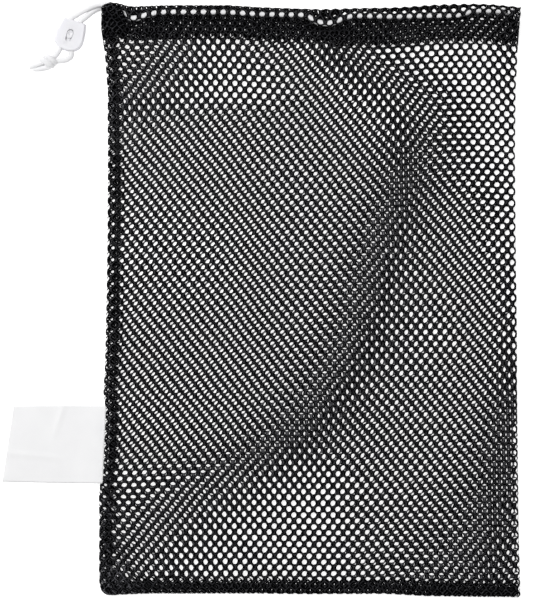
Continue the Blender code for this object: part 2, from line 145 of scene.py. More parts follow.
def slip(x, y):
    """Slip of the back net under the front net, in steps along the lattice's two slanting directions. Half a step
    puts the back net's strands behind the front net's holes, which looks dark, and a whole step opens them again."""
    ridge_y = [-266, -238, -210, -182, -155, -127, -71, -31, 13, 68, 114, 152, 180, 208, 248, 300]
    ridge_x = [-176, -150, -120, -72, -28, 0, 34, 50, 60, 76, 93, 101, 113, 100, 36, 0]
    across = x - np.interp(y, ridge_y, ridge_x)
    lean = np.interp(y, [-266, -200, -150, -100, 0, 300], [0.55, 0.5, 0.6, 0.8, 0.93, 0.97])
    first = 0.5 + 0.5 * np.tanh(across * lean / 50)
    first += 0.6 * smooth_step(x - 0.6 * y, 180, 390)
    first -= 1.0 * bump(x, y, (-210, 280), (85, 80))
    near_edge = np.interp(y, [-300, -100, 40, 90, 160, 200, 240, 300],
                          [0.15, 0.25, 0.2, 0, 0.08, 0.22, 0.3, 0.35])
    first += near_edge * smooth_step(x, 150, 215)
    level, lateral = (x + y) / math.sqrt(2), (x - y) / math.sqrt(2)
    brow = np.interp(lateral, [-230, -170, -120, -55, -8, 60, 90, 125, 185],
                     [144, 160, 152, 158, 167, 155, 140, 125, 83])
    lobe = np.interp(y, [-120, -71, -43, -15, 12, 40, 68, 96, 124, 152, 180],
                     [0.06, 0.07, 0.12, 0.2, 0.27, 0.3, 0.3, 0.26, 0.17, 0.08, 0.02])
    second = 0.35 + lobe * (0.5 - 0.5 * np.tanh((x + 58) / 38)) + 0.08 * bump(x, y, (-80, -75), (65, 65))
    second -= (0.26 * smooth_step(y, 190, 218) * bump(x, 0 * y, (-75, 0), (85, 1))
               + 0.1 * bump(x, y, (128, -35), (45, 45)))
    second += 0.1 * bump(x, y, (-180, -100), (60, 60)) + 0.12 * bump(x, y, (-130, 168), (75, 24))
    second += 0.06 * bump(0 * x, y, (0, -140), (1, 35)) * smooth_step(-x, -120, -60)
    second -= 0.22 * smooth_step(-y, 138, 205) * smooth_step(-x, -70, 0)
    second -= 0.05 * smooth_step(-y, 180, 260) * smooth_step(x, 0, 80)
    second += 0.1 * smooth_step(x, 150, 200) * smooth_step(-y, 0, 60)
    second += (0.95 - second) * (0.5 + 0.5 * np.tanh((level - brow - 24) / 60))
    return first, second


def slip_mm(x, y):
    first, second = slip(x, y)
    return (first - second) * PITCH / 2, (first + second) * ROW


# ---------------------------------------------------------------- placing cloth in space

FOLD_RUN = sum(math.dist(a, b) for a, b in zip(FRONT_CASING[:12], FRONT_CASING[1:13]))  # to the mouth's edge


def section(profile, run):
    """A point of a casing's section, at a distance along the cloth from its start."""
    points = np.array(profile, float)
    lengths = np.concatenate([[0], np.cumsum(np.hypot(*np.diff(points, axis=0).T))])
    return np.interp(run, lengths, points[:, 0]), np.interp(run, lengths, points[:, 1]), lengths[-1]


def round_corner(x, y, inward, upward):
    """Rounds the bag's bottom left corner: a square of cloth pressed into a quarter disc."""
    radius = 12.0
    a, b = np.clip(1 - inward / radius, 0, 1), np.clip(1 - upward / radius, 0, 1)
    return x + radius * a * (1 - np.sqrt(1 - b**2 / 2)), y + radius * b * (1 - np.sqrt(1 - a**2 / 2))


def place_wall(s, t, front):
    """Where a point of a wall's cloth lies. s runs across the cloth and t runs up it, both from its middle."""
    up = t + TOP
    low_turn = np.clip(up / ROLLED, 0, math.pi / 2)
    y_plain = np.where(up < ROLLED * math.pi / 2, ROLLED * (1 - np.cos(low_turn)), up - ROLLED * (math.pi / 2 - 1))
    hem_run = 2 * TOP - HEM
    run = np.clip(y_plain - hem_run, 0, None)
    leftward = 1 - smooth_step(s, -15, 35)
    drawn = 1.4 * leftward * (smooth_step(run, 4, 26) - smooth_step(run, FOLD_RUN, FOLD_RUN + 20)) if front else 0
    drop, hem_z, _ = section(FRONT_CASING if front else BACK_CASING, run + drawn)
    turned_in = smooth_step(run, FOLD_RUN + 4, FOLD_RUN + 17) if front else smooth_step(run, 36, 50)
    sideways = 0 if front else -PITCH / 4 * turned_in
    share = np.clip(np.minimum(y_plain, hem_run) / hem_run, 0, 1)
    y_guess = BOTTOM + np.minimum(y_plain, hem_run)
    for _ in range(2):
        left, right = along(LEFT_EDGE, y_guess), along(RIGHT_EDGE, y_guess)
        roll = 2.2 + 1.6 * smooth_step(y_guess, 262, 285)
        from_left, from_right = s + sideways + CLOTH_HALF, CLOTH_HALF - s - sideways
        squeeze = (right - left + 2 * roll * (math.pi / 2 - 1)) / (2 * CLOTH_HALF)
        inward_left, inward_right = from_left * squeeze, from_right * squeeze
        x = left + inward_left - roll * (math.pi / 2 - 1)
        turn_left = np.clip(inward_left / roll, 0, math.pi / 2)
        turn_right = np.clip(inward_right / roll, 0, math.pi / 2)
        x = np.where(inward_left < roll * math.pi / 2, left + roll * (1 - np.cos(turn_left)), x)
        x = np.where(inward_right < roll * math.pi / 2, right - roll * (1 - np.cos(turn_right)), x)
        low, high = along(BOTTOM_EDGE, x), along(TOP_EDGE, x)
        lifted = low + share * (high - HEM - low)
        near_cord = np.clip(1 - np.abs(drop - 8) / np.where(drop > 8, 15, 8), 0, 1)
        sag = (np.maximum(along(CORD_DROP, x), 1.5) - 7.5) * near_cord
        if not front:
            sag = sag - 3.2 * leftward * np.clip(1 - (drop - 3.4) / 12, 0, 1)
        y = np.where(run > 0, high - drop - sag, lifted)
        y_guess = y
    x, y = round_corner(x, y, x - left, y - low)
    own = (3.7 + 0.8 * wander(x, y, 1.0)) if front else (0.9 + 0.12 * wander(x, y, 2.0))
    blend_in = smooth_step(y_plain, hem_run - 30, hem_run)
    start_z = FRONT_CASING[0][1] if front else BACK_CASING[0][1]
    own = np.where(run > 0, hem_z, own * (1 - blend_in) + start_z * blend_in)
    middle = 2.3 + 5.0 * smooth_step(y_guess, 262, 285)
    z = middle + (own - middle) * np.sin(turn_left) * np.sin(turn_right) * np.sin(low_turn)
    return np.stack([x, y, z], axis=-1)


def front_place(s, t):
    nudge_x = 0.5 * wander(s, t, 3.0) + 0.24 * tremble(s, t, 3.0)
    nudge_y = 0.5 * wander(s, t, 4.0) + 0.24 * tremble(s, t, 4.0)
    return place_wall(s + nudge_x, t + nudge_y, True)


def back_place(s, t):
    slip_x, slip_y = slip_mm(s, t)
    nudge_x = 0.5 * wander(s, t, 3.0) + 0.24 * tremble(s, t, 5.0)
    nudge_y = 0.5 * wander(s, t, 4.0) + 0.24 * tremble(s, t, 6.0)
    return place_wall(s + slip_x + nudge_x, t + slip_y + nudge_y, False)


# ---------------------------------------------------------------- net mesh

CORNER = (ROW**2 - PITCH**2 / 4) / (2 * ROW)
CELL_CORNERS = [(PITCH / 2, -CORNER), (PITCH / 2, CORNER), (0, ROW - CORNER), (-PITCH / 2, CORNER),
                (-PITCH / 2, -CORNER), (0, CORNER - ROW)]


def cell_rim():
    """The twelve points of a cell's outline: its corners and the middles of its sides."""
    points = []
    for i, corner in enumerate(CELL_CORNERS):
        following = CELL_CORNERS[(i + 1) % 6]
        points.append(corner)
        points.append(((corner[0] + following[0]) / 2, (corner[1] + following[1]) / 2))
    return np.array(points)


def make_mesh(name, verts, faces, surface):
    mesh = bpy.data.meshes.new(name)
    faces = [np.asarray(f) for f in faces if len(f)]
    loops = sum(f.size for f in faces)
    count = sum(len(f) for f in faces)
    mesh.vertices.add(len(verts))
    mesh.vertices.foreach_set("co", (np.asarray(verts) * MM).astype(np.float32).ravel())
    mesh.loops.add(loops)
    mesh.loops.foreach_set("vertex_index", np.concatenate([f.ravel() for f in faces]).astype(np.int32))
    mesh.polygons.add(count)
    sizes = np.concatenate([np.full(len(f), f.shape[1]) for f in faces])
    mesh.polygons.foreach_set("loop_start", np.concatenate([[0], np.cumsum(sizes)[:-1]]).astype(np.int32))
    mesh.update(calc_edges=True)
    mesh.validate()
    mesh.shade_smooth()
    mesh.materials.append(surface)
    made = bpy.data.objects.new(name, mesh)
    bpy.context.scene.collection.objects.link(made)
    return made


def net(name, place, across, upward, surface, keep=None, strand=STRAND, hole=FRONT_HOLE, rise=0.0):
    """A holed net. across and upward are the first and last cloth positions; place puts a cloth point in space."""
    rows = np.arange(math.ceil(upward[0] / ROW), math.floor(upward[1] / ROW) + 1)
    centres = []
    for j in rows:
        shift = PITCH / 2 if j % 2 else 0
        first = math.ceil((across[0] - shift) / PITCH)
        last = math.floor((across[1] - shift) / PITCH)
        centres += [(i * PITCH + shift, j * ROW + rise) for i in range(first, last + 1)]
    centres = np.array(centres)
    if keep is not None:
        centres = centres[keep(centres[:, 0], centres[:, 1])]
    rim = cell_rim()
    angles = np.arctan2(rim[:, 1] / hole[1], rim[:, 0] / hole[0])
    ring = np.stack([hole[0] * np.cos(angles), hole[1] * np.sin(angles)], axis=1)
    outer = (centres[:, None, :] + rim[None]).reshape(-1, 2)
    inner = (centres[:, None, :] + ring[None]).reshape(-1, 2)
    unique, index = np.unique(np.round(outer * 1000).astype(np.int64), axis=0, return_inverse=True)
    index = index.reshape(len(centres), 12)
    shared = unique / 1000.0

    def surface_points(points):
        s, t = points[:, 0], points[:, 1]
        here = place(s, t)
        step = 0.6
        ds = place(s + step, t) - place(s - step, t)
        dt = place(s, t + step) - place(s, t - step)
        normal = np.cross(ds, dt)
        length = np.linalg.norm(normal, axis=1, keepdims=True)
        flat = np.array([0.0, 0.0, 1.0])
        normal = np.where(length > 1e-6, normal / np.maximum(length, 1e-9), flat)
        return here, normal

    rim_at, rim_normal = surface_points(shared)
    ring_at, _ = surface_points(inner)
    count = len(shared)
    verts = np.concatenate([rim_at + rim_normal * strand, rim_at - rim_normal * strand, ring_at])
    ring_index = 2 * count + np.arange(len(inner)).reshape(len(centres), 12)
    following = np.roll(np.arange(12), -1)
    above = np.stack([index, index[:, following], ring_index[:, following], ring_index], axis=-1).reshape(-1, 4)
    low = index + count
    below = np.stack([low, ring_index, ring_index[:, following], low[:, following]], axis=-1).reshape(-1, 4)
    faces = [above, below]
    sides = np.stack([index, index[:, following]], axis=-1).reshape(-1, 2)
    ordered = np.sort(sides, axis=1)
    _, first_seen, uses = np.unique(ordered, axis=0, return_index=True, return_counts=True)
    lone = sides[first_seen[uses == 1]]
    faces.append(np.stack([lone[:, 1], lone[:, 0], lone[:, 0] + count, lone[:, 1] + count], axis=-1))
    made = make_mesh(name, verts, faces, surface)
    # The ridge mask, 1 on the strands' tops and 0 at the holes' rims: the yarn material paints a highlight on it.
    ridge = made.data.attributes.new("ridge", "FLOAT", "POINT")
    ridge.data.foreach_set("value", (np.arange(len(verts)) < 2 * count).astype(np.float32))
    return made


# ---------------------------------------------------------------- rods


def rounded_path(points, step):
    """A smooth path through a few points, sampled at an even step."""
    points = np.array(points, float)
    padded = np.concatenate([[2 * points[0] - points[1]], points, [2 * points[-1] - points[-2]]])
    out = []
    for i in range(1, len(padded) - 2):
        p0, p1, p2, p3 = padded[i - 1 : i + 3]
        for t in np.linspace(0, 1, 24, endpoint=False):
            out.append(0.5 * (2 * p1 + (p2 - p0) * t + (2 * p0 - 5 * p1 + 4 * p2 - p3) * t**2
                              + (3 * p1 - p0 - 3 * p2 + p3) * t**3))
    out.append(padded[-2])
    out = np.array(out)
    lengths = np.concatenate([[0], np.cumsum(np.linalg.norm(np.diff(out, axis=0), axis=1))])
    even = np.linspace(0, lengths[-1], max(2, int(lengths[-1] / step)))
    return np.stack([np.interp(even, lengths, out[:, k]) for k in range(3)], axis=1), even


def rod(name, path, run, half_width, half_height, surface, sides=20, braid=0.0, taper=None):
    """A rod round a path, with the crossing strands of a braid raised on it."""
    tangent = np.gradient(path, axis=0)
    tangent /= np.linalg.norm(tangent, axis=1, keepdims=True)
    side = np.zeros_like(path)
    start = np.cross(tangent[0], (0, 0, 1.0))
    side[0] = start / np.linalg.norm(start)
    for i in range(1, len(path)):
        carried = side[i - 1] - tangent[i] * (side[i - 1] @ tangent[i])
        level = np.cross(tangent[i], (0, 0, 1.0))
        if np.linalg.norm(level) > 0.3:
            level /= np.linalg.norm(level)
            if level @ carried > 0:
                carried = 0.7 * carried + 0.3 * level
        side[i] = carried / np.linalg.norm(carried)
    up = np.cross(side, tangent)
    angle = 2 * math.pi * np.arange(sides) / sides
    weave = np.cos(4 * angle[None] + run[:, None] * 0.9) * np.cos(4 * angle[None] - run[:, None] * 0.9)
    radius = 1 + braid * weave
    if taper is not None:
        radius = radius * taper(run)[:, None]
    ring = (path[:, None] + side[:, None] * (half_width * np.cos(angle))[None, :, None] * radius[..., None]
            + up[:, None] * (half_height * np.sin(angle))[None, :, None] * radius[..., None])
    verts = ring.reshape(-1, 3)
    rows = np.arange(len(path) - 1)[:, None] * sides
    k = np.arange(sides)[None]
    n = (k + 1) % sides
    quads = np.stack([rows + k, rows + n, rows + sides + n, rows + sides + k], axis=-1).reshape(-1, 4)
    ends = np.array([path[0], path[-1]])
    verts = np.concatenate([verts, ends])
    base = len(path) * sides
    last = (len(path) - 1) * sides
    cap0 = np.stack([np.full(sides, base), (np.arange(sides) + 1) % sides, np.arange(sides)], axis=-1)
    cap1 = np.stack([np.full(sides, base + 1), last + np.arange(sides), last + (np.arange(sides) + 1) % sides],
                    axis=-1)
    return make_mesh(name, verts, [quads, np.concatenate([cap0, cap1])], surface)


# ---------------------------------------------------------------- materials


def nodes_of(name):
    surface = bpy.data.materials.new(name)
    surface.use_nodes = True
    tree = surface.node_tree
    return surface, tree, tree.nodes["Principled BSDF"]


def noise(tree, scale, detail=3.0, roughness=0.55):
    place = tree.nodes.new("ShaderNodeTexCoord")
    made = tree.nodes.new("ShaderNodeTexNoise")
    made.inputs["Scale"].default_value = scale
    made.inputs["Detail"].default_value = detail
    made.inputs["Roughness"].default_value = roughness
    tree.links.new(place.outputs["Object"], made.inputs["Vector"])
    return made


def ramp(tree, source, low, high, first, second):
    made = tree.nodes.new("ShaderNodeValToRGB")
    made.color_ramp.elements[0].position = low
    made.color_ramp.elements[0].color = (*first, 1)
    made.color_ramp.elements[1].position = high
    made.color_ramp.elements[1].color = (*second, 1)
    tree.links.new(source, made.inputs["Fac"])
    return made.outputs["Color"]


def add_bump(tree, shader, height, strength, distance):
    made = tree.nodes.new("ShaderNodeBump")
    made.inputs["Strength"].default_value = strength
    made.inputs["Distance"].default_value = distance
    tree.links.new(height, made.inputs["Height"])
    tree.links.new(made.outputs["Normal"], shader.inputs["Normal"])


def yarn_material(name, dark, light):
    """Black filament yarn, knitted: a highlight is painted into the colour on the strands' tops, and the rims of the
    holes keep the yarn's near black.
    """
    surface, tree, shader = nodes_of(name)
    loops = noise(tree, 420.0, 2.0)
    fibres = noise(tree, 1500.0, 2.0)
    ridge = tree.nodes.new("ShaderNodeAttribute")
    ridge.attribute_name = "ridge"
    # The painted highlight's mask: the strands' tops (ridge) times a patchy loop noise.
    painted_ridge_highlight = tree.nodes.new("ShaderNodeMath")
    painted_ridge_highlight.operation = "MULTIPLY"
    tree.links.new(ridge.outputs["Fac"], painted_ridge_highlight.inputs[0])
    tree.links.new(ramp(tree, loops.outputs["Fac"], 0.3, 0.7, (0.45, 0.45, 0.45), (1, 1, 1)), painted_ridge_highlight.inputs[1])
    # Painted highlight: the colour goes from the dark yarn at the holes' rims to the light colour on the strands'
    # tops.
    colour = ramp(tree, painted_ridge_highlight.outputs["Value"], 0.3, 0.85, dark, light)
    tree.links.new(colour, shader.inputs["Base Color"])
    shine = ramp(tree, fibres.outputs["Fac"], 0.3, 0.7, (0.3, 0.3, 0.3), (0.5, 0.5, 0.5))
    tree.links.new(shine, shader.inputs["Roughness"])
    gloss = ramp(tree, painted_ridge_highlight.outputs["Value"], 0.35, 0.9, (0.0, 0.0, 0.0), (0.38, 0.38, 0.38))
    tree.links.new(gloss, shader.inputs["Specular IOR Level"])
    add_bump(tree, shader, loops.outputs["Fac"], 0.25, 0.0006)
    return surface


def thread_material():
    surface, tree, shader = nodes_of("black_sewing_thread")
    fibres = noise(tree, 900.0, 2.0)
    colour = ramp(tree, fibres.outputs["Fac"], 0.3, 0.7, (0.003, 0.003, 0.004), (0.008, 0.008, 0.010))
    tree.links.new(colour, shader.inputs["Base Color"])
    shader.inputs["Roughness"].default_value = 0.6
    shader.inputs["Specular IOR Level"].default_value = 0.2
    add_bump(tree, shader, fibres.outputs["Fac"], 0.4, 0.0003)
    return surface


def cord_material():
    """White braid: faintly uneven, with a soft fibre bump."""
    surface, tree, shader = nodes_of("white_braided_cord")
    patches = noise(tree, 90.0)
    fibres = noise(tree, 1300.0, 2.0)
    colour = ramp(tree, patches.outputs["Fac"], 0.3, 0.7, (0.80, 0.80, 0.815), (0.85, 0.85, 0.86))
    tree.links.new(colour, shader.inputs["Base Color"])
    shader.inputs["Roughness"].default_value = 0.75
    shader.inputs["Sheen Weight"].default_value = 0.2
    add_bump(tree, shader, fibres.outputs["Fac"], 0.5, 0.0004)
    return surface


def plastic_material():
    surface, tree, shader = nodes_of("white_lock_plastic")
    grain = noise(tree, 700.0, 2.0)
    patches = noise(tree, 60.0)
    colour = ramp(tree, patches.outputs["Fac"], 0.3, 0.7, (0.765, 0.76, 0.80), (0.80, 0.80, 0.83))
    tree.links.new(colour, shader.inputs["Base Color"])
    shader.inputs["Roughness"].default_value = 0.38
    shader.inputs["Subsurface Weight"].default_value = 0.5
    shader.inputs["Subsurface Radius"].default_value = (0.004, 0.004, 0.004)
    shader.inputs["Subsurface Scale"].default_value = 1.0
    add_bump(tree, shader, grain.outputs["Fac"], 0.15, 0.0002)
    return surface


def label_material():
    """Non-woven label stock: a crisp white sheet with a fine fibre print."""
    surface, tree, shader = nodes_of("white_label_stock")
    fibres = noise(tree, 420.0, 4.0, 0.65)
    clouds = noise(tree, 28.0, 3.0)
    colour = ramp(tree, clouds.outputs["Fac"], 0.25, 0.75, (0.90, 0.90, 0.91), (0.95, 0.95, 0.955))
    tree.links.new(colour, shader.inputs["Base Color"])
    shader.inputs["Roughness"].default_value = 0.8
    add_bump(tree, shader, fibres.outputs["Fac"], 0.25, 0.0003)
    return surface


def steel_material():
    surface, tree, shader = nodes_of("bright_spring_wire")
    scratches = noise(tree, 800.0, 2.0)
    shine = ramp(tree, scratches.outputs["Fac"], 0.3, 0.7, (0.2, 0.2, 0.2), (0.35, 0.35, 0.35))
    tree.links.new(shine, shader.inputs["Roughness"])
    shader.inputs["Base Color"].default_value = (0.62, 0.62, 0.64, 1)
    shader.inputs["Metallic"].default_value = 1
    return surface


# Both yarns are the same black yarn, each with a painted highlight on the strands' tops as its second colour. The
# inner yarn, for the back wall and the folded corner layers seen through the front net, is painted lighter all over,
# as painted light.
YARN = yarn_material("black_knitted_yarn", (0.0008, 0.0008, 0.001), (0.017, 0.017, 0.021))
INNER_YARN_PAINTED_LIGHTER = yarn_material("black_knitted_yarn_inside_painted_lighter", (0.02, 0.02, 0.023), (0.14, 0.14, 0.155))
THREAD, CORD = thread_material(), cord_material()
PLASTIC, LABEL, STEEL = plastic_material(), label_material(), steel_material()

# ---------------------------------------------------------------- how cloth follows the joints


def gather_share(x, y):
    """How far a point of the cloth follows the cord as it is pulled: all the way at the fold, at the mouth."""
    return np.clip((x - LEFT) / (RIGHT - LEFT), 0, 1) * smooth_step(y, 60, 290)


def points_of(obj):
    co = np.zeros(len(obj.data.vertices) * 3, np.float32)
    obj.data.vertices.foreach_get("co", co)
    return co.reshape(-1, 3).astype(float) / MM


def open_with(obj):
    """Bakes a piece's placement into its mesh."""
    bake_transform(obj)


def hook(obj, name, target, shares):
    """Moves each point of a piece by its own share of another object's motion."""
    group = obj.vertex_groups.new(name=name)
    levels = np.round(np.clip(shares, 0, 1) * 200).astype(int)
    for level in np.unique(levels):
        if level:
            group.add(np.nonzero(levels == level)[0].tolist(), level / 200, "REPLACE")
    made = obj.modifiers.new(name, "HOOK")
    made.object = target
    made.vertex_group = name


cord_body = frame["bodies"]["drawstring"]


def gather(obj):
    """Draws the cloth along the mouth when the drawstring is pulled."""
    at = points_of(obj)
    hook(obj, "gather", cord_body, gather_share(at[:, 0], at[:, 1]))


def open_mouth(obj):
    """For a piece of the front wall: bakes its placement into its mesh."""
    at = points_of(obj)
    open_with(obj)


# ---------------------------------------------------------------- the two walls

HEM_LENGTH = {True: section(FRONT_CASING, 0)[2], False: section(BACK_CASING, 0)[2]}
FOLD_AT = TOP - HEM + ROLLED * (math.pi / 2 - 1) + FOLD_RUN
RISE = FOLD_AT % ROW  # puts a row of holes on the fold


def wall(name, place, front, surface, hole):
    top = TOP - HEM + ROLLED * (math.pi / 2 - 1) + HEM_LENGTH[front]
    margin = 20

    def keep(s, t):
        here_s, here_t = s.copy(), t.copy()
        if not front:
            slip_x, slip_y = slip_mm(s, t)
            here_s, here_t = s + slip_x, t + slip_y
        edge = top - 2 - (6.6 * (1 - smooth_step(here_s, 0, 60)) if front else 0)
        return (np.abs(here_s) < CLOTH_HALF - 0.5) & (here_t > -303.0) & (here_t < edge)

    across = (-CLOTH_HALF - margin, CLOTH_HALF + margin)
    return net(name, place, across, (BOTTOM - margin, top + margin), surface, keep, hole=hole, rise=RISE)


net_front = wall("net_front", front_place, True, YARN, FRONT_HOLE)
# The back wall takes the yarn painted lighter, as painted light.
net_back = wall("net_back", back_place, False, INNER_YARN_PAINTED_LIGHTER, BACK_HOLE)
open_mouth(net_front)
gather(net_front)
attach(net_back, "bag")
gather(net_back)
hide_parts("front_panel", "front_casing")
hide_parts("back_panel", "back_casing", "side_fold", "mouth_fold")

# ---------------------------------------------------------------- turned-in edges of the sewn sides


def left_allowance(s, t, level, reach):
    """A layer of the side seam's turned-in edge. s runs in from the bag's edge."""
    y = np.clip(t, -301, 300)
    left = along(LEFT_EDGE, y)
    turn = np.clip(s / 2.0, 0, math.pi / 2)
    x = left + 0.6 + np.where(s < math.pi, 2 * (1 - np.cos(turn)), s - math.pi + 2)
    wave = 0.25 * np.sin(0.19 * t + level) + 0.2 * np.sin(0.057 * t + 2 * level)
    hem = 4.5 * smooth_step(y, 262, 285)
    z = 2.3 + hem + (level - 2.3) * np.sin(turn) + wave * np.sin(turn)
    x = x + 0.5 * np.sin(0.045 * t + level) * np.clip(s / reach, 0, 1)
    x, y = round_corner(x, y, x - left, y - along(BOTTOM_EDGE, x))
    return np.stack([x, y, z], axis=-1)


def bottom_allowance(s, t, level, reach):
    x = np.clip(s, -214, 214)
    low = along(BOTTOM_EDGE, x)
    turn = np.clip(t / 2.0, 0, math.pi / 2)
    y = low + 0.6 + np.where(t < math.pi, 2 * (1 - np.cos(turn)), t - math.pi + 2)
    wave = 0.25 * np.sin(0.17 * s + level) + 0.2 * np.sin(0.05 * s + 2 * level)
    z = 2.3 + (level - 2.3) * np.sin(turn) + wave * np.sin(turn)
    y = y + 0.5 * np.sin(0.04 * s + level) * np.clip(t / reach, 0, 1)
    x, y = round_corner(x, y, x - along(LEFT_EDGE, y), y - low)
    return np.stack([x, y, z], axis=-1)


def edge_layer(name, place, level, step, across, upward, reach, node=None):
    """One layer of a turned-in edge. step shifts its holes against those of the walls."""
    made = net(name, lambda s, t: place(s + step[0], t + step[1], level, reach), across, upward, YARN)
    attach(made, "bag")
    gather(made)
    if node:
        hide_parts(node)


QUARTER, HALF = PITCH / 4, PITCH / 2
edge_layer("side_allowance_1", left_allowance, 2.9, (1.3, 0.6), (3, 12.5), (-302, 298), 10.0, "side_seam")
edge_layer("side_allowance_2", left_allowance, 2.2, (QUARTER, -0.8), (4, 12), (-298, 298), 10.0)
edge_layer("side_allowance_3", left_allowance, 1.6, (-QUARTER, -0.8), (6, 14.5), (-298, 298), 10.0)
edge_layer("bottom_allowance_1", bottom_allowance, 2.9, (HALF, 1.0), (-216, 210), (-2, 12.5), 11.0, "bottom_seam")
edge_layer("bottom_allowance_2", bottom_allowance, 2.2, (QUARTER, -2.0), (-213, 211), (-2, 12.5), 11.0)
edge_layer("bottom_allowance_3", bottom_allowance, 1.6, (-QUARTER, -2.0), (-211, 214), (-2, 12.5), 11.0)

# ---------------------------------------------------------------- cloth gathered in the two sewn corners


def low_corner(s, t, level):
    """Folded-over cloth in the bottom left corner. s and t run in from the two edges."""
    x, y = LEFT + s, BOTTOM + t
    for _ in range(2):
        turn_s, turn_t = np.clip(s / 2.0, 0, math.pi / 2), np.clip(t / 2.0, 0, math.pi / 2)
        x = along(LEFT_EDGE, y) + 0.4 + np.where(s < math.pi, 2 * (1 - np.cos(turn_s)), s - math.pi + 2)
        y = along(BOTTOM_EDGE, x) + 0.4 + np.where(t < math.pi, 2 * (1 - np.cos(turn_t)), t - math.pi + 2)
    x, y = round_corner(x, y, x - along(LEFT_EDGE, y), y - along(BOTTOM_EDGE, x))
    z = 2.3 + (level + 0.3 * np.sin(0.2 * s + 0.13 * t) - 2.3) * np.sin(turn_s) * np.sin(turn_t)
    return np.stack([x, y, z], axis=-1)


def high_corner(s, t, lift):
    """The hump of cloth over the drawstring in the top left corner, on top of the casing."""
    at = front_place(s, t)
    inward = s + CLOTH_HALF
    under_fold = smooth_step(-t, -FOLD_AT, 6 - FOLD_AT)
    at[..., 2] += lift * (0.35 + 0.65 * smooth_step(inward, 0, 8)) * (0.6 + 0.4 * under_fold)
    return at


def low_patch(name, level, step, across, up_to, widths):
    def keep(s, t):
        return s + step[0] < np.interp(t + step[1], up_to, widths)

    def place(s, t):
        ruck = 1.7 * np.sin(0.21 * t + 0.08 * s + level), 1.7 * np.sin(0.19 * s - 0.07 * t + 2 * level)
        return low_corner(s + step[0] + ruck[0], t + step[1] + ruck[1], level)

    # The corner folds take the yarn painted lighter, as painted light.
    made = net(name, place, (-1, across), (-1, up_to[-1]), INNER_YARN_PAINTED_LIGHTER, keep)
    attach(made, "bag")
    gather(made)


def high_patch(name, lift, step, deep, widths):
    def keep(s, t):
        here, under = s + step[0], FOLD_AT - t - step[1]
        return (here + CLOTH_HALF < np.interp(under, deep, widths)) & (under > -1) & (here > -CLOTH_HALF + 1)

    def place(s, t):
        return high_corner(s + step[0], t + step[1], lift)

    low = FOLD_AT - deep[-1]
    made = net(name, place, (-225, -160), (low, FOLD_AT + 6), YARN, keep, rise=RISE)
    open_mouth(made)
    gather(made)


low_patch("corner_fold_1", 2.6, (QUARTER, 1.0), 60, [0, 11, 30, 54, 110], [46, 42, 33, 25, 17])
low_patch("corner_fold_2", 2.0, (0.0, -2.0), 40, [0, 11, 28, 46], [27, 25, 18, 4])
low_patch("corner_fold_3", 3.2, (HALF, -1.0), 40, [0, 14, 28, 40], [26, 25, 17, 4])
high_patch("corner_hump_1", 1.2, (HALF, 0.0), [0, 10, 20, 34, 44], [19, 25, 33, 32, 17])
high_patch("corner_hump_2", 2.3, (QUARTER, 3.0), [0, 10, 20, 34, 44], [16, 22, 29, 27, 12])

# ---------------------------------------------------------------- sewing threads


def stitch_row(name, path_at, first, last, stitch, node, opens=False, sway=0.0):
    """Sewing: a lock stitch that rises over the cloth and dips into it, or an overlock that sways across the seam."""
    count = int((last - first) / stitch)
    points = []
    for i in range(count * 4 + 1):
        where = first + (last - first) * i / (count * 4)
        side = sway * (0, 1, 0, -1)[i % 4]
        x, y, z = path_at(where, side)
        lift = (0.25, 0.6, 0.25, -0.9)[i % 4] if not sway else 0.0
        points.append((x, y, z + lift))
    path, run = rounded_path(points, 0.9)
    made = rod(name, path, run, 0.42, 0.36, THREAD, sides=6)
    if opens:
        open_mouth(made)
    else:
        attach(made, "bag")
    gather(made)
    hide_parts(node)


def front_hem_at(x, side):
    return x, float(along(TOP_EDGE, np.array([x]))[0]) - 22.5 + side, 6.9


def back_hem_at(x, side):
    return x, float(along(TOP_EDGE, np.array([x]))[0]) - 22.5 + side, 2.9


def side_seam_at(y, side):
    return float(along(LEFT_EDGE, np.array([y]))[0]) + 11.0 + side, y, 2.6


def bottom_seam_at(x, side):
    return x, float(along(BOTTOM_EDGE, np.array([x]))[0]) + 8.0 + side, 2.6


stitch_row("front_hem_stitches", front_hem_at, LEFT + 5, RIGHT - 5, 3.6, "front_hem_thread", True)
stitch_row("back_hem_stitches", back_hem_at, LEFT + 5, RIGHT - 5, 3.6, "back_hem_thread")
stitch_row("side_seam_stitches", side_seam_at, BOTTOM + 8, TOP - 34, 2.4, "side_seam_thread", sway=2.8)
stitch_row("bottom_seam_stitches", bottom_seam_at, LEFT + 8, RIGHT - 6, 2.4, "bottom_seam_thread", sway=2.6)

# ---------------------------------------------------------------- drawstring

LOCK_AT = np.array([-247.6, 272.8])
LOCK_TURN = math.radians(-19)


def in_lock(across, up, z):
    c, s = math.cos(LOCK_TURN), math.sin(LOCK_TURN)
    return (LOCK_AT[0] + c * across - s * up, LOCK_AT[1] + s * across + c * up, z)


def cord_at(x, z, lower=0.0):
    x = np.array([float(x)])
    return float(x[0]), float(along(TOP_EDGE, x)[0] - along(CORD_DROP, x)[0]) - lower, z


BACK_Z, FRONT_Z = 3.7, 11.0
front_points = [cord_at(x, FRONT_Z) for x in np.arange(LEFT + 2, 204, 6)]
path, run = rounded_path(front_points, 0.8)
cord_front = rod("cord_front_run", path, run, CORD_RADIUS, CORD_FLAT, CORD, braid=0.05)
open_mouth(cord_front)
# The front run is threaded through the casing. A hook to an empty that follows the drawstring's sideways motion
# reversed moves its left end fully and its right end not at all.
slack = bpy.data.objects.new("cord_slack", None)
bpy.context.scene.collection.objects.link(slack)
undo = slack.constraints.new("COPY_LOCATION")
undo.target = cord_body
undo.invert_x = True
undo.use_y = False
undo.use_z = False
bpy.context.view_layer.update()
at = points_of(cord_front)
hook(cord_front, "slack", slack, 1 - np.clip((at[:, 0] - LEFT) / (RIGHT - LEFT), 0, 1))
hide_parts("drawstring_front_strand")

